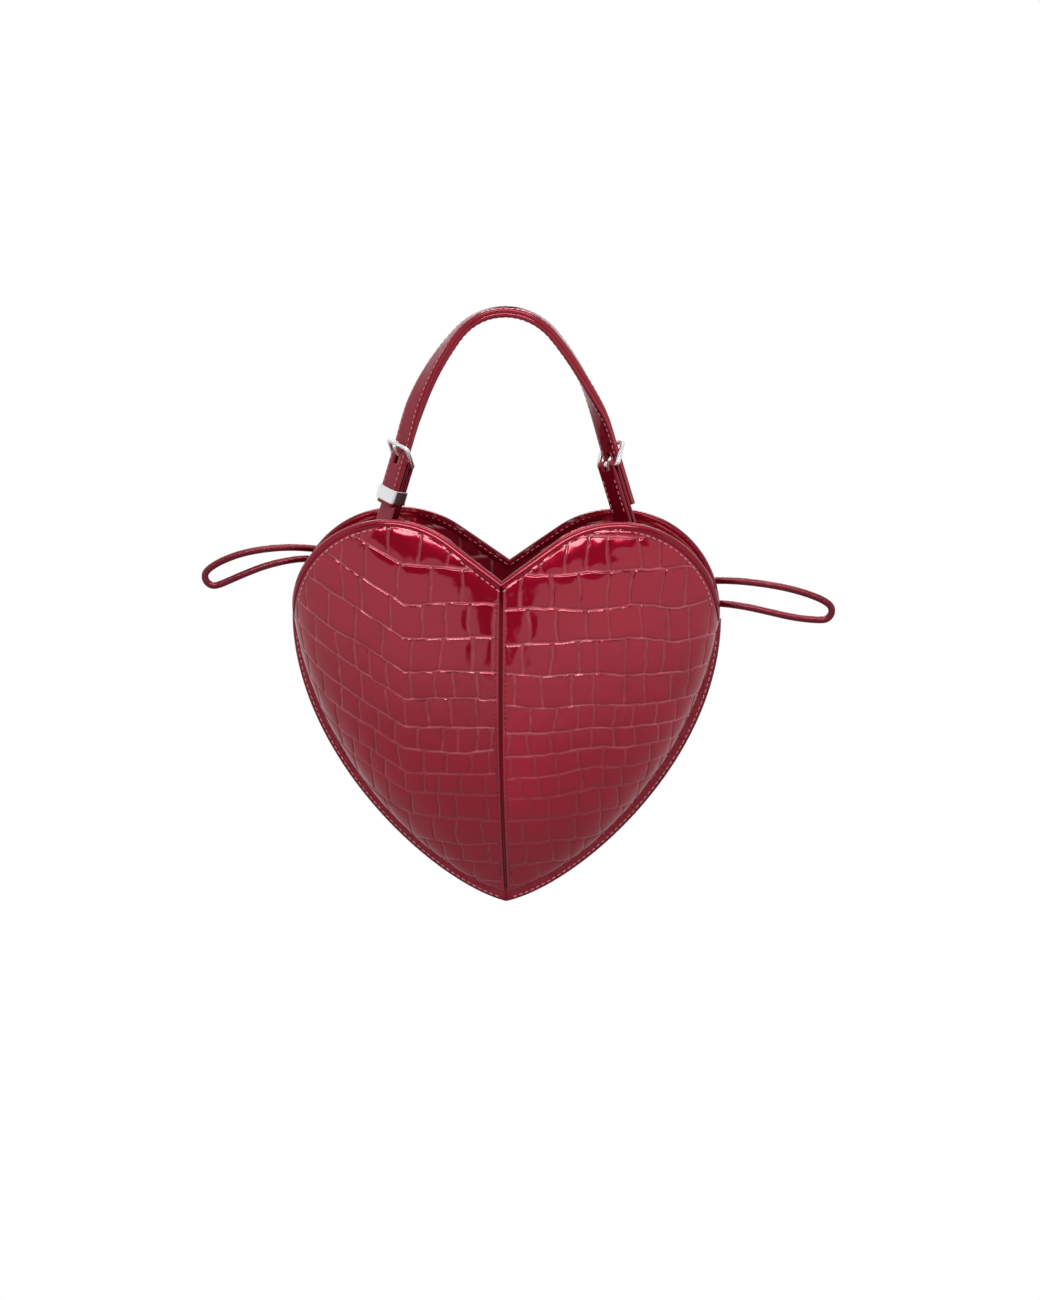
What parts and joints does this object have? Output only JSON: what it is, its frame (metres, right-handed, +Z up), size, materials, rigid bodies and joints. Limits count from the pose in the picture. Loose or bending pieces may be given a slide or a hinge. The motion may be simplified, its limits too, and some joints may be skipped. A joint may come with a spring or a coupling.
{
  "type": "heart shaped purse",
  "caption": "Heart shaped top-handle purse in embossed patent leather, with a domed front and back, an open mouth, a buckled strap handle that folds, and slender side loops.",
  "frame": {"origin": "under the crown of the handle, where the purse is held", "axes": "+X to the purse's left-to-right as seen from the front, -Y out of the front, +Z up"},
  "size_m": [0.3029, 0.074, 0.2872],
  "materials": {
    "croc_leather": "embossed patent",
    "smooth_leather": "smooth patent",
    "lining_cloth": "woven",
    "board": "raw board",
    "silver_metal": "polished",
    "magnet": "matt"
  },
  "bodies": {
    "handle": {"handle_strap_outer": "smooth_leather", "handle_strap_lining": "smooth_leather", "handle_tab_left": "smooth_leather", "handle_tab_right": "smooth_leather", "buckle_frame_left": "silver_metal", "buckle_frame_right": "silver_metal"},
    "bag": {"back_binding_left": "smooth_leather", "back_binding_right": "smooth_leather", "back_lining_left": "croc_leather", "back_lining_right": "croc_leather", "back_panel_left": "croc_leather", "back_panel_right": "croc_leather", "back_seam_tape": "lining_cloth", "back_stiffener_left": "board", "back_stiffener_right": "board", "front_binding_left": "smooth_leather", "front_binding_right": "smooth_leather", "front_lining_left": "croc_leather", "front_lining_right": "croc_leather", "front_panel_left": "croc_leather", "front_panel_right": "croc_leather", "front_seam_tape": "lining_cloth", "front_stiffener_left": "board", "front_stiffener_right": "board", "gusset_left": "croc_leather", "gusset_right": "croc_leather", "loop_anchor_left": "smooth_leather", "loop_anchor_right": "smooth_leather", "seam_welt": "smooth_leather", "side_loop_left": "smooth_leather", "side_loop_right": "smooth_leather", "snap_magnet": "magnet", "snap_socket": "silver_metal", "snap_stud": "silver_metal", "snap_washers": "silver_metal", "tab_foot_left": "smooth_leather", "tab_foot_right": "smooth_leather"},
    "prong_left": {"prong_left": "silver_metal"},
    "prong_right": {"prong_right": "silver_metal"},
    "keeper": {"strap_keeper": "silver_metal"}
  },
  "joints": [
    {"name": "handle_fold", "type": "hinge", "parent": "handle", "child": "bag", "pos_m": [0, 0, -0.0954], "axis": [1, 0, 0], "range_deg": [-48, 48]},
    {"name": "prong_left_lift", "type": "hinge", "parent": "handle", "child": "prong_left", "pos_m": [-0.04802, 0, -0.06929], "axis": [0.6762, -0.7071, -0.2067], "range_deg": [0, 35]},
    {"name": "prong_right_lift", "type": "hinge", "parent": "handle", "child": "prong_right", "pos_m": [0.04802, 0, -0.06929], "axis": [-0.6762, 0.7071, -0.2067], "range_deg": [0, 35]},
    {"name": "keeper_slide", "type": "slide", "parent": "handle", "child": "keeper", "axis": [0.2924, 0, 0.9563], "range_m": [-0.001, 0.008]}
  ]
}
